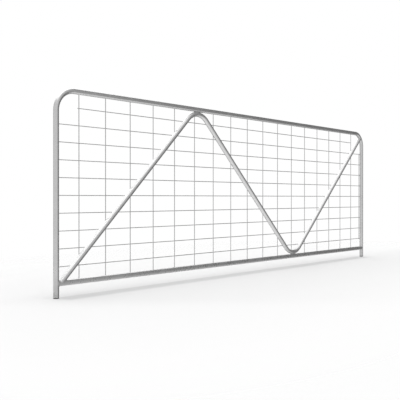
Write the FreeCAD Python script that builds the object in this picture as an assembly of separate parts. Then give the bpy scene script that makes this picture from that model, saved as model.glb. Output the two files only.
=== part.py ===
import FreeCAD, Part
import math
import os

from FreeCAD import Vector

os.makedirs("parts", exist_ok=True)

# Livestock panel gate: one bent-tube leaf with a zigzag brace and welded wire mesh.
# Frame of the part, in millimetres:
#   origin  centre of the left leg's foot, on the ground
#   +X      along the leaf, from the left leg to the right leg
#   +Y      from the tube side (front) to the mesh side (back)
#   +Z      up
# The tube axes all lie in the plane y = 0.

# ---------------------------------------------------------------- dimensions
TUBE_OD = 32.0            # frame, bottom rail and brace
TUBE_WALL = 2.0
LEG_SPACING = 3548.0      # left leg axis to right leg axis
TOP_Z = 1161.0            # axis of the top rail
BOTTOM_Z = 82.5           # axis of the bottom rail
CORNER_R = 120.0          # centre-line radius of the two top corners
COPE_CLEARANCE = 0.3      # fit-up gap at a coped tube end

TUBE_R = TUBE_OD / 2.0
BORE_R = TUBE_R - TUBE_WALL
COPE_R = TUBE_R + COPE_CLEARANCE

BEND_R = 138.0            # centre-line radius of the two brace bends
BRACE_FOOT_X = 45.0       # where the brace axis crosses the top of the bottom rail
SEAM_GAP = 0.2            # fit-up gap where a brace bend lies against a rail
PEAK_X = LEG_SPACING / 3.0
TROUGH_X = 2.0 * LEG_SPACING / 3.0
PEAK_Z = TOP_Z - TUBE_OD - SEAM_GAP          # brace axis at the top of its first bend
TROUGH_Z = BOTTOM_Z + TUBE_OD + SEAM_GAP     # brace axis at the bottom of its second bend
CORNER_GUESS = 20.0       # first guess: sharp corners this far beyond the rail axes
SOLVER_STEPS = 60

WIRE_R = 2.5
WIRE_PITCH_X = 200.0      # between uprights
WIRE_PITCH_Z = 100.0      # between line wires
N_UPRIGHTS = 17           # uprights that run from rail to rail, centred on the leaf
N_LINES = 10
LOWEST_LINE_Z = 171.0
EDGE_INSET = 15.0         # selvedge wires stand this far inside the leg axes
EDGE_OVERHANG = 14.5      # how far a line wire runs past a selvedge wire
WIRE_OVERLAP = 8.0        # how far an upright runs past a rail's axis
LINE_OVERHANG = 5.5       # how far the top line runs past the end uprights, and a
                          # selvedge wire past its end lines
FIRST_UPRIGHT_X = (LEG_SPACING - WIRE_PITCH_X * (N_UPRIGHTS - 1)) / 2.0
UPRIGHT_Y = TUBE_R + WIRE_R           # uprights lie against the backs of the rails
LINE_Y = UPRIGHT_Y + 2.0 * WIRE_R     # line wires lie behind the uprights

PLUG_FLANGE = 5.0         # thickness of the foot plug below the tube end
PLUG_FLANGE_CHAMFER = 1.2
PLUG_DEPTH = 22.0         # part of the plug inside the tube
PLUG_CORE_R = BORE_R - 2.0
PLUG_TIP_CHAMFER = 1.5
PLUG_WALL = 2.2
PLUG_FLOOR = 2.0          # the hollow starts this far above the flange
RIB_CLEARANCE = 0.25      # radial clearance of the ribs in the tube
RIB_TAPER = 1.4           # radius lost from a rib's bottom to its top
RIB_HEIGHT = 2.4
RIB_START = 4.0           # lowest rib above the flange
RIB_PITCH = 5.0
N_RIBS = 3

SADDLE_REACH = 2.6        # reach of a saddle bead over each tube
GROOVE_BEAD_R = 3.2       # bead laid in the groove between two tubes
GROOVE_HALF = 22.0        # half length of that bead
GROOVE_LIFT = 1.7         # its centre line stands this far off both tubes' surfaces
GROOVE_INTERVALS = 8
TACK_R = 2.6              # wire tack on a rail
TACK_OFFSET = 3.6         # from an upright's axis to its tack's centre
TACK_LIFT = 0.8           # from the rail's back to the tack's centre
LEG_TACK_R = 3.8          # bead that joins a line wire to a leg
LEG_TACK_INSET = 4.5      # from the leg's axis to that bead's centre


# ---------------------------------------------------------------- helpers
def save(name, shape):
    if isinstance(shape, list):
        shape = Part.makeCompound(shape)
    shape.exportStep("parts/%s.step" % name)


def pt(x, z):
    """Point in the plane of the tube axes."""
    return Vector(x, 0.0, z)


def unit(vector):
    result = Vector(vector)
    result.normalize()
    return result


def biggest(shape):
    return max(shape.Solids, key=lambda solid: solid.Volume)


def trim(body, *cutters):
    for cutter in cutters:
        body = body.cut(cutter)
    return biggest(body)


def rod(start, end, radius):
    axis = end - start
    return Part.makeCylinder(radius, axis.Length, start, axis)


def rail_rod(x0, x1, radius, z=BOTTOM_Z):
    return rod(pt(x0, z), pt(x1, z), radius)


def leg_rod(x, below, above, radius):
    """Upright cylinder on a leg axis, measured from the bottom rail's axis."""
    return rod(pt(x, BOTTOM_Z - below), pt(x, BOTTOM_Z + above), radius)


def fillet_arc(before, corner, after, radius):
    """Start, middle, end and centre of the arc that rounds a corner."""
    back = unit(before - corner)
    onward = unit(after - corner)
    half_angle = math.acos(back.dot(onward)) / 2.0
    setback = radius / math.tan(half_angle)
    centre = corner + unit(back + onward) * (radius / math.sin(half_angle))
    middle = centre + unit(corner - centre) * radius
    return corner + back * setback, middle, corner + onward * setback, centre


def fillet_path(points, radius):
    """Wire of straight lines through points, with an arc at each inner point."""
    edges = []
    line_start = points[0]
    for before, corner, after in zip(points, points[1:], points[2:]):
        start, middle, end, _ = fillet_arc(before, corner, after, radius)
        edges.append(Part.makeLine(line_start, start))
        edges.append(Part.Arc(start, middle, end).toShape())
        line_start = end
    edges.append(Part.makeLine(line_start, points[-1]))
    return Part.Wire(edges)


def bar(path, radius):
    """Solid round bar along a wire of lines and arcs."""
    body = None
    for edge in path.OrderedEdges:
        start = edge.valueAt(edge.FirstParameter)
        end = edge.valueAt(edge.LastParameter)
        if isinstance(edge.Curve, Part.Circle):
            centre = edge.Curve.Center
            to_start, to_end = start - centre, end - centre
            axis = unit(to_start.cross(to_end))
            circle = Part.makeCircle(radius, start, unit(axis.cross(to_start)))
            disc = Part.Face(Part.Wire(circle))
            piece = disc.revolve(centre, axis, math.degrees(to_start.getAngle(to_end)))
        else:
            piece = rod(start, end, radius)
        body = piece if body is None else body.fuse(piece)
    return biggest(body)


def tube(path):
    return trim(bar(path, TUBE_R), bar(path, BORE_R))


# ---------------------------------------------------------------- tube axes
# The frame is one length of tube: left leg, bend, top rail, bend, right leg.
frame_path = fillet_path(
    [pt(0, PLUG_FLANGE), pt(0, TOP_Z), pt(LEG_SPACING, TOP_Z), pt(LEG_SPACING, PLUG_FLANGE)],
    CORNER_R,
)

# The brace has its foot on the bottom rail beside the left leg, its first bend under the
# top rail, its second bend on the bottom rail, and its head in the top right corner,
# square to the corner's curve.
corner_centre = pt(LEG_SPACING - CORNER_R, TOP_Z - CORNER_R)
foot_crossing = pt(BRACE_FOOT_X, BOTTOM_Z + TUBE_R)


def zigzag_corners():
    """Sharp corners of the zigzag, set so that the bends just reach the rails."""
    apex = pt(PEAK_X, TOP_Z + CORNER_GUESS)
    nadir = pt(TROUGH_X, BOTTOM_Z - CORNER_GUESS)
    for _ in range(SOLVER_STEPS):
        peak_centre = fillet_arc(foot_crossing, apex, nadir, BEND_R)[3]
        trough_centre = fillet_arc(apex, nadir, corner_centre, BEND_R)[3]
        apex = pt(PEAK_X, apex.z + (PEAK_Z - (peak_centre.z + BEND_R)))
        nadir = pt(TROUGH_X, nadir.z + (TROUGH_Z - (trough_centre.z - BEND_R)))
    return apex, nadir


apex, nadir = zigzag_corners()
foot_dir = unit(apex - foot_crossing)
foot_end = foot_crossing - foot_dir * (TUBE_R / foot_dir.z)    # on the bottom rail's axis
head_dir = unit(corner_centre - nadir)
head_end = corner_centre + head_dir * CORNER_R                 # on the corner's axis
brace_path = fillet_path([foot_end, apex, nadir, head_end], BEND_R)

frame_bar = bar(frame_path, TUBE_R)
brace_bar = bar(brace_path, TUBE_R)
# Left leg with fit-up clearance: copes both the bottom rail and the brace.
left_cope = leg_rod(0, 60, 120, COPE_R)


# ---------------------------------------------------------------- tubes
def bottom_rail():
    """Coped at both ends to sit round the legs."""
    outside = rail_rod(0, LEG_SPACING, TUBE_R)
    bore = rail_rod(-1, LEG_SPACING + 1, BORE_R)
    return trim(outside.cut(bore), left_cope, leg_rod(LEG_SPACING, 60, 60, COPE_R))


def zigzag_brace():
    """Coped at the foot to the bottom rail and left leg, at the head to the corner."""
    rail_cope = rail_rod(-60, 300, COPE_R)
    return trim(tube(brace_path), rail_cope, left_cope, bar(frame_path, COPE_R))


save("frame_tube", tube(frame_path))
save("bottom_rail", bottom_rail())
save("zigzag_brace", zigzag_brace())

# ---------------------------------------------------------------- wire mesh
upright_xs = [FIRST_UPRIGHT_X + WIRE_PITCH_X * i for i in range(N_UPRIGHTS)]
line_zs = [LOWEST_LINE_Z + WIRE_PITCH_Z * i for i in range(N_LINES)]


def mesh_uprights():
    """Rail-to-rail uprights, with a shorter selvedge wire just inside each leg."""
    selvedge = (line_zs[0] - LINE_OVERHANG, line_zs[-2] + LINE_OVERHANG)
    full = (BOTTOM_Z - WIRE_OVERLAP, TOP_Z + WIRE_OVERLAP)
    spans = [(EDGE_INSET, selvedge)]
    spans += [(x, full) for x in upright_xs]
    spans += [(LEG_SPACING - EDGE_INSET, selvedge)]
    return [rod(Vector(x, UPRIGHT_Y, z0), Vector(x, UPRIGHT_Y, z1), WIRE_R)
            for x, (z0, z1) in spans]


def mesh_lines():
    """Line wires that end behind the legs; the top one ends at the outer full uprights."""
    end_x = EDGE_INSET - EDGE_OVERHANG
    spans = [(end_x, LEG_SPACING - end_x)] * (N_LINES - 1)
    spans += [(upright_xs[0] - LINE_OVERHANG, upright_xs[-1] + LINE_OVERHANG)]
    return [rod(Vector(x0, LINE_Y, z), Vector(x1, LINE_Y, z), WIRE_R)
            for (x0, x1), z in zip(spans, line_zs)]


for number, wire in enumerate(mesh_uprights(), start=1):
    save("mesh_upright_%02d" % number, wire)
for number, wire in enumerate(mesh_lines(), start=1):
    save("mesh_line_%02d" % number, wire)


# ---------------------------------------------------------------- foot plugs
def chamfer_rim(cylinder, z, size):
    """Chamfer the circular edge at height z."""
    rim = [edge for edge in cylinder.Edges
           if len(edge.Vertexes) == 1 and abs(edge.BoundBox.ZMin - z) < 1e-6]
    return cylinder.makeChamfer(size, rim)


def foot_plug(x):
    """Flange under the leg, and a hollow ribbed core, open at the top, inside it."""
    flange = Part.makeCylinder(TUBE_R, PLUG_FLANGE, pt(x, 0))
    flange = chamfer_rim(flange, 0.0, PLUG_FLANGE_CHAMFER)
    core = Part.makeCylinder(PLUG_CORE_R, PLUG_DEPTH, pt(x, PLUG_FLANGE))
    core = chamfer_rim(core, PLUG_FLANGE + PLUG_DEPTH, PLUG_TIP_CHAMFER)
    body = flange.fuse(core)
    rib_r = BORE_R - RIB_CLEARANCE
    for i in range(N_RIBS):
        z = PLUG_FLANGE + RIB_START + RIB_PITCH * i
        body = body.fuse(Part.makeCone(rib_r, rib_r - RIB_TAPER, RIB_HEIGHT, pt(x, z)))
    hollow = Part.makeCylinder(PLUG_CORE_R - PLUG_WALL, PLUG_DEPTH,
                               pt(x, PLUG_FLANGE + PLUG_FLOOR))
    return biggest(body.cut(hollow).removeSplitter())


save("foot_plug_left", foot_plug(0))
save("foot_plug_right", foot_plug(LEG_SPACING))

# ---------------------------------------------------------------- saddle welds
# A saddle bead fills the corner between a coped tube end and the tube it meets: it is
# what two enlarged tubes share, less the tubes themselves. The cylinders stand in for
# the tubes and need only be longer than the bead.
SADDLE_R = TUBE_R + SADDLE_REACH
BRACE_STUB = 120.0        # length of brace used at its foot and head


def rail_weld(leg_x, inward):
    """Bead round an end of the bottom rail; inward is the sign of X into the leaf."""
    rail, near_rail = [rail_rod(leg_x, leg_x + inward * 60, r) for r in (TUBE_R, SADDLE_R)]
    leg, near_leg = [leg_rod(leg_x, 40, 40, r) for r in (TUBE_R, SADDLE_R)]
    return trim(near_rail.common(near_leg), rail, leg)


def brace_foot_weld(rail_bead):
    """Kept clear of the left leg and of the bead round the rail's left end."""
    stub_end = foot_end + foot_dir * BRACE_STUB
    brace, near_brace = [rod(foot_end, stub_end, r) for r in (TUBE_R, SADDLE_R)]
    rail, near_rail = [rail_rod(-40, 160, r) for r in (TUBE_R, SADDLE_R)]
    leg = leg_rod(0, 60, 120, TUBE_R)
    return trim(near_brace.common(near_rail), rail, brace, leg, rail_bead)


def brace_head_weld():
    stub_start = head_end - head_dir * BRACE_STUB
    brace, near_brace = [rod(stub_start, head_end, r) for r in (TUBE_R, SADDLE_R)]
    return trim(near_brace.common(bar(frame_path, SADDLE_R)), frame_bar, brace)


weld_rail_left = rail_weld(0.0, 1.0)
save("weld_rail_left", weld_rail_left)
save("weld_rail_right", rail_weld(LEG_SPACING, -1.0))
save("weld_brace_foot", brace_foot_weld(weld_rail_left))
save("weld_brace_head", brace_head_weld())


# ---------------------------------------------------------------- groove welds
def bead(points, radius):
    """Round bead with ball ends along a smooth curve through points."""
    curve = Part.BSplineCurve()
    curve.interpolate(Points=points)
    start_dir = curve.tangent(curve.FirstParameter)[0]
    ring = Part.Wire(Part.makeCircle(radius, points[0], start_dir))
    body = Part.Wire(curve.toShape()).makePipeShell([ring], True, True)
    for end in (points[0], points[-1]):
        body = body.fuse(Part.makeSphere(radius, end))
    return body


def groove_welds(bend_x, rail_z, bend_z, up):
    """Front and back beads between a rail and a brace bend.

    up is +1 where the rail is above the bend, -1 where it is below.
    """
    rail = rail_rod(bend_x - 80, bend_x + 80, TUBE_R, rail_z)
    welds = []
    for side in (-1.0, 1.0):
        points = []
        for i in range(GROOVE_INTERVALS + 1):
            dx = -GROOVE_HALF + 2.0 * GROOVE_HALF * i / GROOVE_INTERVALS
            brace_z = bend_z - up * (BEND_R - math.sqrt(BEND_R ** 2 - dx * dx))
            half_gap = abs(rail_z - brace_z) / 2.0
            y = math.sqrt((TUBE_R + GROOVE_LIFT) ** 2 - half_gap * half_gap)
            points.append(Vector(bend_x + dx, side * y, (rail_z + brace_z) / 2.0))
        welds.append(trim(bead(points, GROOVE_BEAD_R), rail, brace_bar))
    return welds


save("weld_brace_peak", groove_welds(PEAK_X, TOP_Z, PEAK_Z, 1.0))
save("weld_brace_trough", groove_welds(TROUGH_X, BOTTOM_Z, TROUGH_Z, -1.0))


# ---------------------------------------------------------------- wire tacks
def tack_on_rail(x, z):
    """Small bead on the +X side of an upright where it crosses a rail."""
    ball = Part.makeSphere(TACK_R, Vector(x + TACK_OFFSET, TUBE_R + TACK_LIFT, z))
    wire = rod(Vector(x, UPRIGHT_Y, z - 12), Vector(x, UPRIGHT_Y, z + 12), WIRE_R)
    return trim(ball, wire, rail_rod(x - 20, x + 20, TUBE_R, z))


def tack_on_leg(leg_x, inward, z):
    """Bead between a line wire's end and the leg's back."""
    leg_back_y = math.sqrt(TUBE_R ** 2 - LEG_TACK_INSET ** 2)
    y = (leg_back_y + LINE_Y - WIRE_R) / 2.0
    ball = Part.makeSphere(LEG_TACK_R, Vector(leg_x + inward * LEG_TACK_INSET, y, z))
    leg = rod(pt(leg_x, z - 20), pt(leg_x, z + 20), TUBE_R)
    wire_end = Vector(leg_x + inward * (EDGE_INSET - EDGE_OVERHANG), LINE_Y, z)
    wire = rod(wire_end, Vector(leg_x + inward * 30, LINE_Y, z), WIRE_R)
    return trim(ball, leg, wire)


save("mesh_tacks_top", [tack_on_rail(x, TOP_Z) for x in upright_xs])
save("mesh_tacks_bottom", [tack_on_rail(x, BOTTOM_Z) for x in upright_xs])
save("mesh_tacks_left", [tack_on_leg(0.0, 1.0, z) for z in line_zs[:-1]])
save("mesh_tacks_right", [tack_on_leg(LEG_SPACING, -1.0, z) for z in line_zs[:-1]])
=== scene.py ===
import math
import random
from collections import namedtuple

import bpy
from mathutils import Matrix, Vector


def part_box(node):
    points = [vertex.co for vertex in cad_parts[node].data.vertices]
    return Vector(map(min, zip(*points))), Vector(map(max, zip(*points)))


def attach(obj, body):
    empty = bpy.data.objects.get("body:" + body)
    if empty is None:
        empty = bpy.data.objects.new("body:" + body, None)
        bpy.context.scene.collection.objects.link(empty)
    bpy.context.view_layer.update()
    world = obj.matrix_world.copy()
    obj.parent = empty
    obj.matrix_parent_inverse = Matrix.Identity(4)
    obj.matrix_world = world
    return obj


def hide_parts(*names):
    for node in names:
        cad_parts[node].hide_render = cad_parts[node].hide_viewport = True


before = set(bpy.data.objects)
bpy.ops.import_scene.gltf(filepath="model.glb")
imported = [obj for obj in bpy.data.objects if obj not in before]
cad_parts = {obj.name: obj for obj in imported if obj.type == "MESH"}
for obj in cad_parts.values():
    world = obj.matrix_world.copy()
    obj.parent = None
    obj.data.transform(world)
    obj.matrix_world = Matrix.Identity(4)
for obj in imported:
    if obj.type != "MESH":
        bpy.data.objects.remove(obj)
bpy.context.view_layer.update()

# ------------------------------------------------------------------ dimensions
MM = 0.001
X, Y, Z = Vector((1, 0, 0)), Vector((0, 1, 0)), Vector((0, 0, 1))

TUBE_R = 16.0 * MM
BORE_R = 14.0 * MM
COPE_R = TUBE_R + 0.3 * MM          # a coped end clears the tube it meets
TUBE_SIDES = 96
STRAIGHT_STEP = 0.06                # longest spacing aimed at between rings
ARC_DEG = 2.5                       # turn between the rings of a bend

# axes of the tubes, from the CAD pieces
tube_lo, tube_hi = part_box("frame_tube")
rail_lo, rail_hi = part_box("bottom_rail")
RIGHT_X = round(tube_hi.x - TUBE_R, 4)
TOP_Z = round(tube_hi.z - TUBE_R, 4)
RAIL_Z = round((rail_lo.z + rail_hi.z) / 2, 4)
FOOT_Z = round(tube_lo.z, 4)        # lower end of the legs
CORNER_R = 120.0 * MM
RAIL_LEAD = 45 * MM                 # from a leg's axis to the rail's first square ring

BEND_R = 138.0 * MM                 # the brace's two bends
BRACE_GAP = 0.2 * MM                # between a brace bend and the tube it touches
BRACE_LEAD, BRACE_TAIL = 70 * MM, 50 * MM
PEAK_X, TROUGH_X = RIGHT_X / 3, 2 * RIGHT_X / 3
PEAK_Z = TOP_Z - 2 * TUBE_R - BRACE_GAP
TROUGH_Z = RAIL_Z + 2 * TUBE_R + BRACE_GAP
FOOT_AXIS_X = 45 * MM               # where the brace's axis leaves the top of the rail

WIRE_R = 2.5 * MM
WIRE_SIDES = 14
UPRIGHTS, LINES = 19, 10
PRESS = 0.28 * MM                   # how far each wire sinks into one it crosses
PRESS_REACH = 9 * MM
PRESS_STATIONS = (-9, -6, -4, -2.5, -1.2, 0, 1.2, 2.5, 4, 6, 9)   # mm from a crossing

WELD_LEG = 2.6 * MM
TACK_OFFSET = 3.6 * MM              # from an upright's axis, towards +X
LEG_TACK_INSET = 4.5 * MM           # from a leg's axis, towards the panel


def in_plane(x, z):
    return Vector((x, 0.0, z))


def half_chord(radius, offset):
    return math.sqrt(max(radius * radius - offset * offset, 0.0))


# ------------------------------------------------------------------ mesh tools
class Shell:
    """Vertices, faces and per-corner sheet coordinates (metres along, metres round)."""

    def __init__(self):
        self.verts, self.faces, self.uvs = [], [], []

    def add(self, point):
        self.verts.append(point)
        return len(self.verts) - 1

    def face(self, indices, uvs, flip=False):
        step = -1 if flip else 1
        self.faces.append(indices[::step])
        self.uvs.extend(uvs[::step])

    def grid(self, rings, along, round_at, flip=False):
        """Quads between successive closed rings of vertex indices."""
        count = len(rings[0])
        for i in range(len(rings) - 1):
            near, far = rings[i], rings[i + 1]
            for k in range(count):
                k2 = (k + 1) % count
                v, v2 = round_at(k), round_at(k + 1)
                self.face([near[k], far[k], far[k2], near[k2]],
                          [(along[i], v), (along[i + 1], v), (along[i + 1], v2), (along[i], v2)],
                          flip)

    def cap(self, ring, uvs, flip, push=Vector()):
        """A fan over a ring, its centre pushed off the ring's middle."""
        middle = sum((self.verts[i] for i in ring), Vector()) / len(ring)
        tip = self.add(middle + push)
        for k in range(len(ring)):
            self.face([ring[k], ring[(k + 1) % len(ring)], tip], uvs, flip)

    def build(self, name, sharp_deg):
        mesh = bpy.data.meshes.new(name)
        mesh.from_pydata([tuple(v) for v in self.verts], [], self.faces)
        mesh.validate()
        layer = mesh.uv_layers.new(name="sheet")
        layer.data.foreach_set("uv", [value for uv in self.uvs for value in uv])
        mesh.polygons.foreach_set("use_smooth", [True] * len(mesh.polygons))
        mesh.set_sharp_from_angle(angle=math.radians(sharp_deg))
        mesh.update()
        ob = bpy.data.objects.new(name, mesh)
        bpy.context.scene.collection.objects.link(ob)
        return ob


def face_outward(ob):
    """Flips a closed mesh whose signed volume is negative."""
    mesh = ob.data
    volume = 0.0
    for poly in mesh.polygons:
        corners = [mesh.vertices[i].co for i in poly.vertices]
        for i in range(1, len(corners) - 1):
            volume += corners[0].dot(corners[i].cross(corners[i + 1]))
    if volume < 0:
        mesh.flip_normals()
    mesh.update()


# ------------------------------------------------------------------ tube paths
def fillet(before, corner, after, radius):
    """Centre, start, end and turn of the arc that rounds a corner."""
    to_before = (before - corner).normalized()
    to_after = (after - corner).normalized()
    half = math.acos(to_before.dot(to_after)) / 2
    setback = radius / math.tan(half)
    centre = corner + (to_before + to_after).normalized() * (radius / math.sin(half))
    return (centre, corner + to_before * setback, corner + to_after * setback,
            math.pi - 2 * half)


def sample_path(points, bend_r=0.0, lead=0.0, tail=0.0):
    """Centres, tangents and running lengths along straights joined by arcs in the XZ plane.
    The first lead and the last tail metres are left without samples."""
    centres, tangents = [], []

    def straight(start, end, end_gap=0.0):
        first = not centres
        direction = (end - start).normalized()
        t0 = lead if first else 0.0
        t1 = (end - start).length - end_gap
        count = max(1, int(round((t1 - t0) / STRAIGHT_STEP)))
        for i in range(0 if first else 1, count + 1):
            centres.append(start + direction * (t0 + (t1 - t0) * i / count))
            tangents.append(direction)

    start = points[0]
    for before, corner, after in zip(points, points[1:], points[2:]):
        centre, arc_start, arc_end, turn = fillet(before, corner, after, bend_r)
        straight(start, arc_start)
        spoke = arc_start - centre
        sign = 1.0 if spoke.cross(arc_end - centre).dot(Y) > 0 else -1.0
        count = max(4, int(round(math.degrees(turn) / ARC_DEG)))
        for k in range(1, count + 1):
            angle = sign * turn * k / count
            cos, sin = math.cos(angle), math.sin(angle)
            turned = in_plane(spoke.x * cos + spoke.z * sin, -spoke.x * sin + spoke.z * cos)
            centres.append(centre + turned)
            tangents.append(in_plane(turned.z * sign, -turned.x * sign).normalized())
        start = arc_end
    straight(start, points[-1], tail)

    lengths = [0.0]
    for i in range(1, len(centres)):
        lengths.append(lengths[-1] + (centres[i] - centres[i - 1]).length)
    return centres, tangents, lengths


def coped_path(points, lead, tail, bend_r=0.0):
    """A path with one extra ring at each end point, to be shifted into a cope."""
    centres, tangents, lengths = sample_path(points, bend_r, lead, tail)
    return ([points[0], *centres, points[-1]],
            [tangents[0], *tangents, tangents[-1]],
            [0.0, *(lead + s for s in lengths), lead + tail + lengths[-1]])


def build_tube(name, node, path, start_cut=None, end_cut=None):
    """Hollow tube. A cut gives the shift along the tangent of an end ring's wall point
    (y, w), w being its offset in the XZ plane."""
    centres, tangents, lengths = path
    last = len(centres) - 1
    shell = Shell()
    walls = []
    for radius, flip in ((TUBE_R, True), (BORE_R, False)):
        rings = []
        for i, (centre, tangent) in enumerate(zip(centres, tangents)):
            side = tangent.cross(Y)
            cut = {0: start_cut, last: end_cut}.get(i)
            ring = []
            for k in range(TUBE_SIDES):
                phi = 2 * math.pi * k / TUBE_SIDES
                y, w = radius * math.cos(phi), radius * math.sin(phi)
                point = centre + Y * y + side * w
                if cut:
                    point = point + tangent * cut(y, w)
                ring.append(shell.add(point))
            rings.append(ring)
        walls.append(rings)
        shell.grid(rings, lengths, lambda k: radius * 2 * math.pi * k / TUBE_SIDES, flip)
    for end, flip in ((0, True), (-1, False)):
        outer, inner = walls[0][end], walls[1][end]
        u = lengths[end]
        for k in range(TUBE_SIDES):
            k2 = (k + 1) % TUBE_SIDES
            v = TUBE_R * 2 * math.pi * k / TUBE_SIDES
            shell.face([outer[k], outer[k2], inner[k2], inner[k]],
                       [(u, v), (u, v + MM), (u, v + MM), (u, v)], flip)
    ob = shell.build(name, sharp_deg=40)
    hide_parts(node)
    return ob


# ------------------------------------------------------------------ brace layout
corner_centre = in_plane(RIGHT_X - CORNER_R, TOP_Z - CORNER_R)
foot_ref = in_plane(FOOT_AXIS_X, RAIL_Z + TUBE_R)


def brace_corners():
    """The sharp corners whose fillets just reach the peak and the trough."""
    apex, nadir = in_plane(PEAK_X, TOP_Z + 0.02), in_plane(TROUGH_X, RAIL_Z - 0.02)
    for _ in range(60):
        peak_centre = fillet(foot_ref, apex, nadir, BEND_R)[0]
        trough_centre = fillet(apex, nadir, corner_centre, BEND_R)[0]
        apex = in_plane(PEAK_X, apex.z + (PEAK_Z - (peak_centre.z + BEND_R)))
        nadir = in_plane(TROUGH_X, nadir.z + (TROUGH_Z - (trough_centre.z - BEND_R)))
    return apex, nadir


apex, nadir = brace_corners()
foot_dir = (apex - foot_ref).normalized()
foot_end = foot_ref - foot_dir * ((foot_ref.z - RAIL_Z) / foot_dir.z)
foot_side = foot_dir.cross(Y)
head_dir = (corner_centre - nadir).normalized()
head_end = corner_centre + head_dir * CORNER_R
head_side = head_dir.cross(Y)


def foot_reach(y, w, radius):
    """Distance along foot_dir from foot_end to whichever is further, the rail or the leg."""
    wall = half_chord(radius, y)
    on_rail = (wall - w * foot_side.z) / foot_dir.z
    on_leg = (wall - foot_end.x - w * foot_side.x) / foot_dir.x
    return max(on_rail, on_leg)


def head_reach(y, w, radius):
    """Distance along head_dir from the frame corner's bend centre to its inner wall."""
    return math.sqrt((CORNER_R - half_chord(radius, y)) ** 2 - w * w)


# ------------------------------------------------------------------ tubes
def build_tubes():
    frame_points = [in_plane(0, FOOT_Z), in_plane(0, TOP_Z),
                    in_plane(RIGHT_X, TOP_Z), in_plane(RIGHT_X, FOOT_Z)]
    rail_points = [in_plane(0, RAIL_Z), in_plane(RIGHT_X, RAIL_Z)]
    brace_points = [foot_end, apex, nadir, head_end]
    return [
        build_tube("Frame_Tube", "frame_tube", sample_path(frame_points, CORNER_R)),
        build_tube("Bottom_Rail", "bottom_rail",
                   coped_path(rail_points, RAIL_LEAD, RAIL_LEAD),
                   lambda y, w: half_chord(COPE_R, y),
                   lambda y, w: -half_chord(COPE_R, y)),
        build_tube("Zigzag_Brace", "zigzag_brace",
                   coped_path(brace_points, BRACE_LEAD, BRACE_TAIL, BEND_R),
                   lambda y, w: foot_reach(y, w, COPE_R),
                   lambda y, w: head_reach(y, w, COPE_R) - CORNER_R),
    ]


# ------------------------------------------------------------------ wire mesh
# Each wire keeps the place its CAD node gives it. Crossing wires are pressed into each
# other a little, and each wire wanders by a small fraction of a millimetre.
Wire = namedtuple("Wire", "node place y start end")   # place is x of an upright, z of a line


def read_wires(prefix, count, across, along):
    wires = []
    for i in range(1, count + 1):
        node = f"{prefix}_{i:02d}"
        lo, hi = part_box(node)
        wires.append(Wire(node, (getattr(lo, across) + getattr(hi, across)) / 2,
                          (lo.y + hi.y) / 2, getattr(lo, along), getattr(hi, along)))
    return wires


def mean_y(wires):
    return round(sum(wire.y for wire in wires) / len(wires), 5)


uprights = read_wires("mesh_upright", UPRIGHTS, "x", "z")
lines = read_wires("mesh_line", LINES, "z", "x")
UPRIGHT_Y = mean_y(uprights)
LINE_Y = mean_y(lines)


def crosses(a, b):
    return b.start < a.place < b.end and a.start < b.place < a.end


def wire_stations(start, end, crossings):
    """Ring positions: both ends, close together at crossings, sparse elsewhere."""
    shoulder, clear = 0.9 * MM, 1.2 * MM
    stations = {round(t, 6) for t in (start, start + shoulder, end - shoulder, end)}
    for crossing in crossings:
        for offset in PRESS_STATIONS:
            t = crossing + offset * MM
            if start + clear < t < end - clear:
                stations.add(round(t, 6))
    t = start
    while t < end:
        if all(abs(t - other) > 3 * MM for other in stations):
            stations.add(round(t, 6))
        t += 0.04
    return sorted(stations)


def press_at(t, crossings):
    """1 at a crossing, falling to 0 at PRESS_REACH from it."""
    press = 0.0
    for crossing in crossings:
        distance = abs(t - crossing)
        if distance < PRESS_REACH:
            press = max(press, (1 - (distance / PRESS_REACH) ** 2) ** 2)
    return press


def wire_shell(wire, crossings, axis, across, y, toward, flip, seed):
    """A wire along axis. toward is the sign in Y of its press at a crossing."""
    rng = random.Random(seed)
    waves = [(rng.uniform(0.35, 0.9), rng.uniform(0, 6.28), rng.uniform(0.02, 0.07) * MM)
             for _ in range(3)]           # wavelength, phase, amplitude
    stations = wire_stations(wire.start, wire.end, crossings)
    shell = Shell()
    rings = []
    for t in stations:
        wander = sum(amp * math.sin(6.2832 * t / wavelength + phase)
                     for wavelength, phase, amp in waves)
        press = press_at(t, crossings)
        centre = (axis * t + across * (wire.place + wander)
                  + Y * (y + toward * PRESS * press))
        # the ends are sheared, so they narrow and lean a little
        is_end = t in (stations[0], stations[-1])
        radius = WIRE_R * (0.86 if is_end else 1.0)
        lean = 0.35 * MM if is_end else 0.0
        ring = []
        for k in range(WIRE_SIDES):
            phi = 2 * math.pi * k / WIRE_SIDES
            cos, sin = math.cos(phi), math.sin(phi)
            flat = 1.0 - 0.06 * press * max(0.0, cos * toward)
            ring.append(shell.add(centre + Y * (radius * cos * flat)
                                  + across * (radius * sin) + axis * (lean * cos)))
        rings.append(ring)
    shell.grid(rings, stations, lambda k: WIRE_R * 2 * math.pi * k / WIRE_SIDES, flip)
    for end, cap_flip, push in ((0, flip, -0.12 * MM), (-1, not flip, 0.12 * MM)):
        u = stations[end]
        shell.cap(rings[end], [(u, 0.0), (u, MM), (u, 0.5 * MM)], cap_flip, axis * push)
    return shell


def build_wires(name, wires, others, first_seed, **layout):
    pieces = []
    for i, wire in enumerate(wires):
        crossings = [other.place for other in others if crosses(wire, other)]
        shell = wire_shell(wire, crossings, seed=first_seed + i, **layout)
        ob = shell.build(f"{name}_{i + 1:02d}", sharp_deg=50)
        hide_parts(wire.node)
        pieces.append(ob)
    return pieces


# ------------------------------------------------------------------ blobs
FAN_UV = [(0, 0), (0, MM), (0, 2 * MM)]


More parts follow.
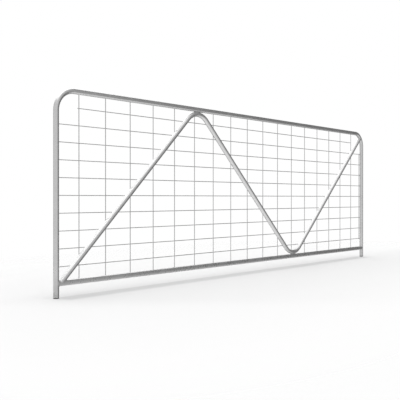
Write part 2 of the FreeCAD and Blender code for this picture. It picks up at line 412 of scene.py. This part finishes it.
def add_blob(shell, centre, axes, radii, seed, lump, sides, bands):
    """A small lumpy closed nugget. The axes are a right-handed set; poles on the third."""
    rng = random.Random(seed)
    a, b, c = (axis * radius for axis, radius in zip(axes, radii))
    phase = [rng.uniform(0, 6.28) for _ in range(4)]
    rings = []
    for j in range(1, bands):
        theta = math.pi * j / bands
        sin = math.sin(theta)
        ring = []
        for k in range(sides):
            phi = 2 * math.pi * k / sides
            swell = 1 + lump * (0.5 * math.sin(2 * phi + phase[0]) * sin
                                + 0.35 * math.sin(3 * phi + 2 * theta + phase[1])
                                + 0.25 * math.sin(5 * theta + phase[2]))
            offset = (a * (sin * math.cos(phi)) + b * (sin * math.sin(phi))
                      + c * math.cos(theta))
            ring.append(shell.add(centre + offset * swell))
        rings.append(ring)
    top = shell.add(centre + c)
    bottom = shell.add(centre - c)
    shell.grid(rings, [2 * MM * j for j in range(len(rings))], lambda k: MM * k)
    for k in range(sides):
        k2 = (k + 1) % sides
        shell.face([top, rings[0][k], rings[0][k2]], FAN_UV)
        shell.face([bottom, rings[-1][k2], rings[-1][k]], FAN_UV)


def build_cross_welds():
    """The squeezed-out metal of the spot weld at every wire crossing."""
    shell = Shell()
    crossings = [(up, line) for up in uprights for line in lines if crosses(up, line)]
    for k, (up, line) in enumerate(crossings, 1):
        rng = random.Random(5000 + k)
        radius = 2.9 * MM * rng.uniform(0.88, 1.12)
        x = up.place + rng.uniform(-0.2, 0.2) * MM
        z = line.place + rng.uniform(-0.2, 0.2) * MM
        add_blob(shell, Vector((x, (UPRIGHT_Y + LINE_Y) / 2, z)), (X, Z, -Y),
                 (radius, radius, 1.35 * MM), seed=9000 + k, lump=0.10, sides=12, bands=6)
    return shell.build("Mesh_Cross_Welds", sharp_deg=80)


def build_tube_tacks(name, node, tube_z, seed):
    """One tack beside each full-height upright, on the +Y wall of a level tube."""
    shell = Shell()
    full = [up for up in uprights if up.start < RAIL_Z]
    for i, up in enumerate(full):
        size = random.Random(seed + i).uniform(0.9, 1.08) * MM
        add_blob(shell, Vector((up.place + TACK_OFFSET, TUBE_R + 0.8 * MM, tube_z)),
                 (-X, Y, -Z), (2.5 * size, 2.3 * size, 3.3 * size),
                 seed=seed * 7 + i, lump=0.14, sides=16, bands=12)
    ob = shell.build(name, sharp_deg=80)
    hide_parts(node)
    return ob


def build_leg_tacks(name, node, leg_x, inward, seed):
    """One bead per line wire but the last, between the wire and the leg's +Y wall."""
    shell = Shell()
    y = (half_chord(TUBE_R, LEG_TACK_INSET) + LINE_Y - WIRE_R) / 2
    for i, line in enumerate(lines[:-1]):
        rng = random.Random(seed + i)
        size = rng.uniform(0.93, 1.05) * MM
        x = leg_x + inward * (LEG_TACK_INSET + rng.uniform(-0.5, 0.5) * MM)
        z = line.place + rng.uniform(-0.4, 0.4) * MM
        add_blob(shell, Vector((x, y, z)), (X, Z, -Y), (4.1 * size, 4.4 * size, 3.8 * MM),
                 seed=seed * 7 + i, lump=0.13, sides=20, bands=14)
    ob = shell.build(name, sharp_deg=80)
    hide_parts(node)
    return ob


# ------------------------------------------------------------------ weld beads
def ripple(s, pitch, phase=0.0):
    """Sawtooth-like scale of a weld bead, 0..1."""
    u = (s / pitch + phase) % 1.0
    return (1 - u) ** 0.6 * min(1.0, u * 6)


# A joint function takes the angle round the branch tube and gives the point where the
# walls meet, the main tube's normal there and the branch tube's normal there.
def wall_offset(phi):
    return TUBE_R * math.cos(phi), TUBE_R * math.sin(phi)


def rail_joint(leg_x, side):
    def joint(phi):
        y, w = wall_offset(phi)
        p = Vector((leg_x + side * half_chord(TUBE_R, y), y, RAIL_Z + w))
        return (p, Vector((p.x - leg_x, p.y, 0)).normalized(),
                Vector((0, p.y, p.z - RAIL_Z)).normalized())
    return joint


def foot_joint(phi):
    y, w = wall_offset(phi)
    offset = Y * y + foot_side * w
    p = foot_end + offset + foot_dir * foot_reach(y, w, TUBE_R)
    return p, Vector((0, p.y, p.z - RAIL_Z)).normalized(), offset.normalized()


def head_joint(phi):
    y, w = wall_offset(phi)
    offset = Y * y + head_side * w
    p = corner_centre + offset + head_dir * head_reach(y, w, TUBE_R)
    spoke = in_plane(p.x - corner_centre.x, p.z - corner_centre.z).normalized()
    return p, (p - (corner_centre + spoke * CORNER_R)).normalized(), offset.normalized()


def build_saddle_bead(name, node, joint, along, seed):
    """Closed bead round a coped tube end. along points from the joint up the branch."""
    steps = 420
    rng = random.Random(seed)
    wobbles = [(rng.randint(2, 5), rng.uniform(0, 6.28), rng.uniform(0.03, 0.07))
               for _ in range(3)]         # waves round the joint, phase, amplitude
    stations = [joint(2 * math.pi * i / steps) for i in range(steps)]
    points = [station[0] for station in stations]
    arc = [0.0]
    for i in range(1, steps):
        arc.append(arc[-1] + (points[i] - points[i - 1]).length)
    total = arc[-1] + (points[0] - points[-1]).length
    pitch = total / round(total / (2.3 * MM))
    shell = Shell()
    rings = []
    for i, (p, main_normal, branch_normal) in enumerate(stations):
        phi = 2 * math.pi * i / steps
        tangent = (points[(i + 1) % steps] - points[i - 1]).normalized()
        up_main = main_normal.cross(tangent).normalized()
        if up_main.dot(branch_normal - along) < 0:
            up_main = -up_main
        up_branch = branch_normal.cross(tangent).normalized()
        if up_branch.dot(along) < 0:
            up_branch = -up_branch
        out = (main_normal + branch_normal).normalized()
        wave = 1 + sum(amp * math.sin(count * phi + phase) for count, phase, amp in wobbles)
        scale = ripple(arc[i], pitch)
        leg = WELD_LEG * wave * (0.94 + 0.08 * scale)
        crown = (1.25 + 0.55 * scale) * MM * wave
        branch_toe = p + up_branch * leg - branch_normal * 0.25 * MM
        main_toe = p + up_main * leg - main_normal * 0.25 * MM
        control = p + (up_branch + up_main) * (0.55 * leg) + out * (crown * 1.5)
        ring = []
        for j in range(9):
            u = j / 8
            ring.append(shell.add(branch_toe * (1 - u) ** 2 + control * (2 * u * (1 - u))
                                  + main_toe * u ** 2))
        ring.append(shell.add(p - out * 0.9 * MM))
        rings.append(ring)
    rings.append(rings[0])
    shell.grid(rings, arc + [total], lambda k: 0.7 * MM * k)
    ob = shell.build(name, sharp_deg=75)
    face_outward(ob)
    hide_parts(node)
    return ob


def build_groove_beads(name, node, bend_x, tube_z, brace_z, up, seed):
    """Two rippled beads, on the -Y and +Y sides, in the groove between a level tube and a
    brace bend. up is +1 where the bend touches the tube from below, -1 from above."""
    rng = random.Random(seed)
    steps, sides = 150, 16
    half_len, bead_r = 22.0 * MM, 3.2 * MM
    length = 2 * half_len + bead_r * 1.6
    shell = Shell()
    for side in (-1.0, 1.0):
        rings, along = [], []
        phase = rng.uniform(0, 1)
        for i in range(steps + 1):
            fraction = i / steps
            dx = -half_len - bead_r * 0.8 + length * fraction
            bend_z = brace_z - up * (BEND_R - math.sqrt(BEND_R ** 2 - dx * dx))
            y = half_chord(TUBE_R + 1.7 * MM, abs(tube_z - bend_z) / 2)
            centre = Vector((bend_x + dx, side * y, (tube_z + bend_z) / 2))
            # round off the bead's ends
            to_end = min(fraction, 1 - fraction) * length
            taper = half_chord(1.0, max(0.0, 1 - to_end / (bead_r * 0.9)))
            scale = ripple(dx + 1.0, 2.4 * MM, phase)
            radius = bead_r * (0.90 + 0.10 * scale) * max(taper, 0.03)
            ring = []
            for k in range(sides):
                phi = 2 * math.pi * k / sides
                cos, sin = math.cos(phi), math.sin(phi)
                ring.append(shell.add(centre + Y * (radius * cos) + Z * (radius * 0.98 * sin)
                                      + X * (0.5 * MM * scale * cos * side)))
            rings.append(ring)
            along.append(dx)
        shell.grid(rings, along, lambda k: 1.2 * MM * k)
        shell.cap(rings[0], FAN_UV, flip=False)
        shell.cap(rings[-1], FAN_UV[::-1], flip=True)
    ob = shell.build(name, sharp_deg=75)
    face_outward(ob)
    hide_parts(node)
    return ob


def build_welds():
    return [
        build_saddle_bead("Weld_Rail_Left", "weld_rail_left", rail_joint(0.0, 1.0), X, seed=11),
        build_saddle_bead("Weld_Rail_Right", "weld_rail_right", rail_joint(RIGHT_X, -1.0), -X,
                          seed=12),
        build_saddle_bead("Weld_Brace_Foot", "weld_brace_foot", foot_joint, foot_dir, seed=13),
        build_saddle_bead("Weld_Brace_Head", "weld_brace_head", head_joint, -head_dir, seed=14),
        build_groove_beads("Weld_Brace_Peak", "weld_brace_peak",
                           PEAK_X, TOP_Z, PEAK_Z, up=1.0, seed=21),
        build_groove_beads("Weld_Brace_Trough", "weld_brace_trough",
                           TROUGH_X, RAIL_Z, TROUGH_Z, up=-1.0, seed=22),
        build_tube_tacks("Mesh_Tacks_Top", "mesh_tacks_top", TOP_Z, seed=40),
        build_tube_tacks("Mesh_Tacks_Bottom", "mesh_tacks_bottom", RAIL_Z, seed=140),
        build_leg_tacks("Mesh_Tacks_Left", "mesh_tacks_left", 0.0, inward=1.0, seed=240),
        build_leg_tacks("Mesh_Tacks_Right", "mesh_tacks_right", RIGHT_X, inward=-1.0, seed=340),
    ]


# ------------------------------------------------------------------ node graphs
def rgba(value):
    return (value, value, value, 1.0)


class Graph:
    """Short names for the node graph of one material or world."""

    def __init__(self, tree):
        self.tree = tree
        tree.nodes.clear()

    def node(self, kind, *inputs, **props):
        """A node with its first inputs linked or set; None leaves an input alone."""
        node = self.tree.nodes.new(kind)
        for key, value in props.items():
            setattr(node, key, value)
        for socket, value in zip(node.inputs, inputs):
            if value is not None:
                self.put(socket, value)
        return node

    def put(self, socket, value):
        if isinstance(value, bpy.types.NodeSocket):
            self.tree.links.new(value, socket)
        else:
            socket.default_value = value

    def math(self, operation, a, b=0.0):
        return self.node("ShaderNodeMath", a, b, operation=operation).outputs[0]

    def chain(self, operation, first, *rest):
        for value in rest:
            first = self.math(operation, first, value)
        return first

    def add(self, *values):
        return self.chain("ADD", *values)

    def mul(self, *values):
        return self.chain("MULTIPLY", *values)

    def sub(self, a, b):
        return self.math("SUBTRACT", a, b)

    def swing(self, value, amount):
        """A 0..1 value turned into a deviation round zero."""
        return self.mul(self.sub(value, 0.5), amount)

    def vector(self, operation, a, b=None):
        return self.node("ShaderNodeVectorMath", a, b, operation=operation).outputs[0]

    def scaled(self, vector, scale):
        node = self.node("ShaderNodeVectorMath", vector, operation="SCALE")
        node.inputs["Scale"].default_value = scale
        return node.outputs[0]

    def measure(self, operation, a, b):
        """The number given by DOT_PRODUCT or DISTANCE."""
        return self.node("ShaderNodeVectorMath", a, b, operation=operation).outputs[1]

    def xyz(self, vector):
        return self.node("ShaderNodeSeparateXYZ", vector).outputs

    def channel(self, colour, index):
        return self.node("ShaderNodeSeparateColor", colour).outputs[index]

    def position(self):
        return self.node("ShaderNodeTexCoord").outputs["Object"]

    def texture(self, kind, vector, out, **inputs):
        node = self.node(kind)
        self.put(node.inputs["Vector"], vector)
        for key, value in inputs.items():
            node.inputs[key].default_value = value
        return node.outputs[out]

    def mapping(self, vector, scale, turn=0.0):
        return self.texture("ShaderNodeMapping", vector, 0, Scale=scale, Rotation=(0, 0, turn))

    def noise(self, vector, scale, detail=3.0, rough=0.5, distortion=0.0, out="Fac"):
        return self.texture("ShaderNodeTexNoise", vector, out, Scale=scale, Detail=detail,
                            Roughness=rough, Distortion=distortion)

    def voronoi(self, vector, scale, out="Color"):
        return self.texture("ShaderNodeTexVoronoi", vector, out, Scale=scale)

    def remap(self, value, span, to=(0.0, 1.0), smooth=False):
        kind = "SMOOTHSTEP" if smooth else "LINEAR"
        return self.node("ShaderNodeMapRange", value, *span, *to,
                         interpolation_type=kind).outputs[0]

    def mix(self, fac, a, b):
        node = self.node("ShaderNodeMix", fac, data_type="RGBA")
        self.put(node.inputs[6], a)       # the colour sockets
        self.put(node.inputs[7], b)
        return node.outputs[2]

    def grey(self, value):
        return self.node("ShaderNodeCombineColor", value, value, value).outputs[0]

    def ramp(self, value, stops, interpolation):
        """A grey ramp; stops are (position, value)."""
        node = self.node("ShaderNodeValToRGB", value)
        node.color_ramp.interpolation = interpolation
        elements = node.color_ramp.elements
        for element, (position, tone) in zip(elements, (stops[0], stops[-1])):
            element.position = position
            element.color = rgba(tone)
        for position, tone in stops[1:-1]:
            elements.new(position).color = rgba(tone)
        return node.outputs[0]

    def bump(self, height, strength, distance, normal=None):
        node = self.node("ShaderNodeBump")
        self.put(node.inputs["Height"], height)
        node.inputs["Strength"].default_value = strength
        node.inputs["Distance"].default_value = distance
        if normal is not None:
            self.put(node.inputs["Normal"], normal)
        return node.outputs[0]

    def principled(self, colour, metallic, rough, normal):
        node = self.node("ShaderNodeBsdfPrincipled")
        self.put(node.inputs["Base Color"], colour)
        self.put(node.inputs["Metallic"], metallic)
        self.put(node.inputs["Roughness"], rough)
        self.put(node.inputs["Normal"], normal)
        self.node("ShaderNodeOutputMaterial", node.outputs[0])


def new_material(name):
    material = bpy.data.materials.new(name)
    material.use_nodes = True
    return material, Graph(material.node_tree)


# ------------------------------------------------------------------ materials
# middles of the welded joints, where the tubes' coating is marked
JOINTS = [
    (0.0, 0.0, RAIL_Z),
    (RIGHT_X, 0.0, RAIL_Z),
    (37 * MM, 0.0, RAIL_Z + TUBE_R),
    (head_end.x - head_dir.x * TUBE_R, 0.0, head_end.z - head_dir.z * TUBE_R),
    (PEAK_X, 0.0, (TOP_Z + PEAK_Z) / 2),
    (TROUGH_X, 0.0, (RAIL_Z + TROUGH_Z) / 2),
]
JOINT_MARK_R = 0.055
SEAM_AT = TUBE_R * 2 * math.pi * 0.13   # metres round the tube


def near_joints(g, pos, wobble):
    """1 close to a welded joint, falling to 0 at JOINT_MARK_R, with a ragged border."""
    nearest = g.chain("MINIMUM", *[g.measure("DISTANCE", pos, joint) for joint in JOINTS])
    nearest = g.add(nearest, g.swing(wobble, amount=JOINT_MARK_R * 0.7))
    return g.remap(nearest, span=(JOINT_MARK_R * 0.45, JOINT_MARK_R), to=(1.0, 0.0), smooth=True)


def galvanised(name, base_tone, spangle_scale, rough, streak_scale, is_tube):
    """Zinc coating. streak_scale sets the drawing marks' frequency along the piece."""
    material, g = new_material(name)
    pos = g.position()
    sheet = g.node("ShaderNodeUVMap", uv_map="sheet").outputs[0]

    # zinc crystals, in two sizes with ragged borders
    warp = g.noise(pos, scale=160.0, detail=2.0, out="Color")
    shift = g.scaled(g.vector("SUBTRACT", warp, (0.5, 0.5, 0.5)), scale=0.006)
    warped = g.vector("ADD", pos, shift)
    big = g.channel(g.voronoi(warped, scale=spangle_scale), 0)
    small = g.channel(g.voronoi(warped, scale=spangle_scale * 2.7), 1)
    crystal = g.add(g.mul(big, 0.65), g.mul(small, 0.35))

    # broad cloudiness of the coating, and drawing marks that run along the piece
    cloud = g.noise(pos, scale=7.0, detail=4.0, rough=0.55)
    patch = g.noise(pos, scale=31.0, detail=5.0, rough=0.62, distortion=0.4)
    streak = g.noise(g.mapping(sheet, scale=(streak_scale, 900.0, 1.0)), scale=1.0, rough=0.6)
    fine = g.noise(pos, scale=1500.0, detail=2.0, rough=0.6)
    scratch = g.noise(g.mapping(sheet, scale=(14.0, 1500.0, 1.0), turn=0.07),
                      scale=1.0, detail=1.0, rough=0.4)
    scratch = g.remap(scratch, span=(0.70, 0.76))
    # dull, slightly paler patches where the zinc has weathered
    dull = g.remap(patch, span=(0.56, 0.68), smooth=True)

    tone = g.mul(g.remap(crystal, span=(0.1, 0.9), to=(0.97, 1.03)),
                 g.remap(cloud, span=(0.3, 0.7), to=(0.965, 1.035)),
                 g.remap(streak, span=(0.3, 0.7), to=(0.975, 1.025)),
                 g.remap(dull, span=(0.0, 1.0), to=(1.0, 1.035)),
                 g.remap(scratch, span=(0.0, 1.0), to=(1.0, 1.06)))
    roughness = g.sub(g.add(rough, g.swing(crystal, amount=0.08), g.swing(cloud, amount=0.10),
                            g.mul(dull, 0.07)),
                      g.mul(scratch, 0.05))
    if is_tube:
        # the tube's longitudinal seam, dressed flush, is a faint dull line
        off = g.math("ABSOLUTE", g.sub(g.xyz(sheet)[1], SEAM_AT))
        seam = g.remap(off, span=(0.4 * MM, 1.1 * MM), to=(1.0, 0.0), smooth=True)
        # cold-zinc paint brushed over the heat mark round each welded joint
        near = near_joints(g, pos, patch)
        tone = g.mul(tone, g.remap(seam, span=(0.0, 1.0), to=(1.0, 0.93)),
                     g.remap(near, span=(0.0, 1.0), to=(1.0, 0.98)))
        roughness = g.add(roughness, g.mul(seam, 0.06), g.mul(near, 0.04))

    height = g.add(g.mul(crystal, 0.5), g.mul(fine, 0.25), g.mul(patch, 0.6))
    normal = g.bump(height, strength=0.16, distance=0.12 * MM)
    normal = g.bump(g.add(streak, g.mul(scratch, -0.4)), strength=0.15, distance=0.04 * MM,
                    normal=normal)
    roughness = g.math("MINIMUM", g.math("MAXIMUM", roughness, 0.15), 0.9)
    g.principled(g.grey(g.mul(tone, base_tone)), metallic=1.0, rough=roughness, normal=normal)
    return material


def pointiness(g):
    return g.node("ShaderNodeNewGeometry").outputs["Pointiness"]


def weld_metal():
    material, g = new_material("weld_metal")
    pos = g.position()
    cloud = g.noise(pos, scale=60.0, detail=4.0, rough=0.6)
    grain = g.noise(pos, scale=900.0, rough=0.6)
    # scattered droplets: some cells only
    spatter = g.remap(g.voronoi(pos, scale=520.0, out="Distance"), span=(0.0, 0.30),
                      to=(1.0, 0.0), smooth=True)
    pick = g.remap(g.noise(pos, scale=210.0, detail=1.0), span=(0.6, 0.66))
    # crests are paler than hollows
    tone = g.mul(g.mul(g.remap(cloud, span=(0.3, 0.7), to=(0.86, 1.08)),
                       g.remap(grain, span=(0.3, 0.7), to=(0.95, 1.05))),
                 g.remap(pointiness(g), span=(0.47, 0.54), to=(0.82, 1.12)))
    warm = (0.50, 0.47, 0.43, 1.0)
    colour = g.mix(g.remap(cloud, span=(0.45, 0.7), to=(0.0, 0.25)),
                   g.grey(g.mul(tone, 0.60)), warm)
    height = g.add(g.mul(grain, 0.3), g.mul(spatter, pick))
    g.principled(colour, metallic=1.0, rough=g.add(0.42, g.swing(cloud, amount=0.3)),
                 normal=g.bump(height, strength=0.5, distance=0.18 * MM))
    return material


def plug_plastic():
    material, g = new_material("plug_plastic")
    black = (0.018, 0.018, 0.019, 1.0)
    worn = (0.09, 0.09, 0.09, 1.0)
    dusty = (0.22, 0.21, 0.20, 1.0)
    pos = g.position()
    grain = g.noise(pos, scale=1400.0, rough=0.6)
    cloud = g.noise(pos, scale=90.0, detail=4.0, rough=0.6)
    # worn edges, and dust over the lowest 6 mm
    edge = g.mul(g.remap(pointiness(g), span=(0.50, 0.58)),
                 g.remap(g.noise(pos, scale=420.0, rough=0.6), span=(0.4, 0.6), to=(0.2, 1.0)))
    dust = g.mul(g.remap(g.xyz(pos)[2], span=(0.0, 6 * MM), to=(1.0, 0.0), smooth=True),
                 g.remap(cloud, span=(0.35, 0.7), to=(0.1, 0.8)))
    colour = g.mix(g.mul(edge, 0.55), black, worn)
    colour = g.mix(g.mul(dust, 0.10), colour, dusty)
    height = g.add(grain, g.mul(cloud, 0.5))
    g.principled(colour, metallic=0.0, rough=g.add(0.60, g.mul(cloud, 0.2)),
                 normal=g.bump(height, strength=0.4, distance=0.10 * MM))
    return material


def set_material(ob, material):
    ob.data.materials.clear()
    ob.data.materials.append(material)


def dress(pieces, material):
    for ob in pieces:
        set_material(ob, material)
        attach(ob, "root")


# ------------------------------------------------------------------ studio
SOFT_BOX = 1.7                      # brightness of the soft box
EVEN_LIGHT = 1.22                   # brightness seen by diffuse rays
BRIGHT_X, BRIGHT_Y = -0.954, -0.301     # level direction of the studio's bright side
FLOOR_ALBEDO = 0.80
FLOOR_HALF = 60.0
# (0 on the dark side to 1 on the bright side, brightness)
WALL_STOPS = [(0.0, 0.15), (0.20, 0.23), (0.45, 0.63), (0.65, 0.74), (0.80, 0.79), (1.0, 0.77)]
# FLOOR_STOPS set the painted reflection of the floor: its glow by direction
FLOOR_STOPS = [(0.0, 0.15), (0.20, 0.23), (0.42, 0.60), (0.60, 1.0)]


def set_view(scene):
    view = scene.view_settings
    view.view_transform = "Standard"
    view.look = "None"
    view.exposure = 0.0
    view.gamma = 1.0


def build_world(scene):
    world = bpy.data.worlds.new("studio")
    scene.world = world
    world.use_nodes = True
    g = Graph(world.node_tree)
    direction = g.vector("NORMALIZE", g.node("ShaderNodeTexCoord").outputs["Generated"])
    side = g.measure("DOT_PRODUCT", direction, (BRIGHT_X, BRIGHT_Y, 0.0))
    walls = g.ramp(g.remap(side, span=(-1.0, 1.0)), WALL_STOPS, "EASE")
    # one big soft box, high on the +Y side, cut off low on the -X side
    box_dir = tuple(Vector((-0.45, 0.60, 0.66)).normalized())
    inside = g.measure("DOT_PRODUCT", direction, box_dir)
    over = g.measure("DOT_PRODUCT", direction, (0.55, 0.0, 0.835))
    soft = g.mul(g.remap(inside, span=(0.20, 0.42), smooth=True),
                 g.remap(over, span=(0.20, 0.46), smooth=True))
    sky = g.mix(soft, walls, rgba(SOFT_BOX))
    # diffuse light is even, so the floor darkens only where the leaf hides the sky
    light_path = g.node("ShaderNodeLightPath").outputs
    sky = g.mix(light_path["Is Diffuse Ray"], sky, rgba(EVEN_LIGHT))
    seen = g.mix(light_path["Is Camera Ray"], sky, rgba(1.0))
    background = g.node("ShaderNodeBackground", seen)
    g.node("ShaderNodeOutputWorld", background.outputs[0])


def floor_grey_and_painted_shade(g, x, y):
    """The floor's grey with painted shade: a dim band on the -Y side as a painted soft shadow,
    and a thin painted shadow strip by the feet.
    """
    # painted soft shadow: a dim band over the floor in front of the leaf
    # distance across the floor in the camera's heading
    heading = g.add(g.mul(x, 0.754), g.mul(y, 0.657))
    near = g.remap(heading, span=(-0.34, 0.02), smooth=True)
    front = g.remap(y, span=(0.30, -0.05), smooth=True)
    fade = g.remap(y, span=(-1.5, -0.3), to=(0.3, 1.0), smooth=True)
    band = g.mul(near, front, fade)
    # a painted shadow of the leaf: a thin dark strip between its feet
    strip = g.mul(g.remap(y, span=(0.045, 0.0), smooth=True),
                  g.remap(y, span=(-0.13, -0.06), smooth=True))
    ends = g.mul(g.remap(x, span=(-0.02, 0.05), smooth=True),
                 g.remap(x, span=(RIGHT_X + 0.05, RIGHT_X - 0.10), smooth=True))
    return g.mul(FLOOR_ALBEDO,
                 g.remap(g.mul(strip, ends), span=(0.0, 1.0), to=(1.0, 0.85)),
                 g.remap(band, span=(0.0, 1.0), to=(1.0, 0.955)))


def floor_glow(g, ray_length):
    """Painted reflection: the floor's glow, seen only by glossy rays; dim close by as a painted
    shadow, and dim on the dark side of the studio.
    """
    back = g.node("ShaderNodeNewGeometry").outputs["Incoming"]

    def steepness(span, to=(0.0, 1.0)):
        """Rises as the reflected ray comes down more steeply."""
        return g.remap(g.measure("DOT_PRODUCT", back, (0.0, 0.0, 1.0)), span, to, smooth=True)

    # painted shadow: the glow is dimmer for short rays, close by the leaf
    close = g.remap(ray_length, span=(0.04, 0.55), to=(0.54, 0.90), smooth=True)
    close = g.math("MAXIMUM", close, g.mul(steepness(span=(0.70, 0.92)), 0.90))
    toward = g.measure("DOT_PRODUCT", back, (-BRIGHT_X, -BRIGHT_Y, 0.0))
    shade = g.ramp(g.remap(toward, span=(-1.0, 1.0)), FLOOR_STOPS, "LINEAR")
    shade = g.mix(steepness(span=(0.35, 0.72)), shade, rgba(1.0))
    # and a painted highlight: a little brighter straight below
    lift = steepness(span=(0.72, 0.95), to=(1.0, 1.25))
    return g.mul(g.math("MINIMUM", close, shade), lift)


def floor_material():
    material, g = new_material("floor")
    x, y = g.xyz(g.position())[:2]
    # distance from the line between the feet; far away the floor fades to the white sky
    beyond = g.sub(g.math("ABSOLUTE", g.sub(x, RIGHT_X / 2)), RIGHT_X / 2)
    beyond = g.math("MAXIMUM", beyond, 0.0)
    distance = g.math("SQRT", g.add(g.mul(beyond, beyond), g.mul(y, y)))
    away = g.remap(distance, span=(0.9, 2.6), smooth=True)

    light_path = g.node("ShaderNodeLightPath").outputs
    diffuse = g.node("ShaderNodeBsdfDiffuse", g.grey(floor_grey_and_painted_shade(g, x, y)))
    # glossy rays see the painted reflection, an emission, instead of the lit floor
    glow = g.node("ShaderNodeEmission", g.grey(floor_glow(g, light_path["Ray Length"])))
    lit = g.node("ShaderNodeMixShader", light_path["Is Glossy Ray"],
                 diffuse.outputs[0], glow.outputs[0])
    clear = g.node("ShaderNodeBsdfTransparent")
    mixed = g.node("ShaderNodeMixShader", away, lit.outputs[0], clear.outputs[0])
    g.node("ShaderNodeOutputMaterial", mixed.outputs[0])
    return material


def build_floor(scene):
    mesh = bpy.data.meshes.new("Floor")
    half = FLOOR_HALF
    mesh.from_pydata([(-half, -half, 0), (half, -half, 0), (half, half, 0), (-half, half, 0)],
                     [], [(0, 1, 2, 3)])
    floor = bpy.data.objects.new("Floor", mesh)
    scene.collection.objects.link(floor)
    mesh.materials.append(floor_material())


def build_camera(scene):
    yaw, pitch = 0.854031, -0.0031527     # radians: from +Y towards +X, and upwards
    data = bpy.data.cameras.new("camera")
    camera = bpy.data.objects.new("camera", data)
    scene.collection.objects.link(camera)
    scene.camera = camera
    data.sensor_width = 36.0
    data.lens = 60.2991
    data.clip_start = 0.05
    data.clip_end = 200.0
    camera.location = (-2.26903, -3.03193, 0.55699)
    ahead = Vector((math.sin(yaw) * math.cos(pitch), math.cos(yaw) * math.cos(pitch),
                    math.sin(pitch)))
    right = Vector((math.cos(yaw), -math.sin(yaw), 0.0))
    up = right.cross(ahead)
    camera.rotation_mode = "QUATERNION"
    camera.rotation_quaternion = Matrix((right, up, -ahead)).transposed().to_quaternion()


# ------------------------------------------------------------------ assembly
tubes = build_tubes()
wires = build_wires("Upright_Wire", uprights, lines, first_seed=100,
                    axis=Z, across=X, y=UPRIGHT_Y, toward=1.0, flip=False)
wires += build_wires("Line_Wire", lines, uprights, first_seed=300,
                     axis=X, across=Z, y=LINE_Y, toward=-1.0, flip=True)
wires.append(build_cross_welds())
welds = build_welds()

tube_zinc = galvanised("galvanised_tube", base_tone=0.68, spangle_scale=95.0, rough=0.29,
                       streak_scale=5.0, is_tube=True)
wire_zinc = galvanised("galvanised_wire", base_tone=0.57, spangle_scale=260.0, rough=0.30,
                       streak_scale=30.0, is_tube=False)
weld_look = weld_metal()
plug_look = plug_plastic()
dress(tubes, tube_zinc)
dress(wires, wire_zinc)
dress(welds, weld_look)
for plug in ("foot_plug_left", "foot_plug_right"):
    set_material(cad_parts[plug], plug_look)

scene = bpy.context.scene
set_view(scene)
build_world(scene)
build_floor(scene)
build_camera(scene)
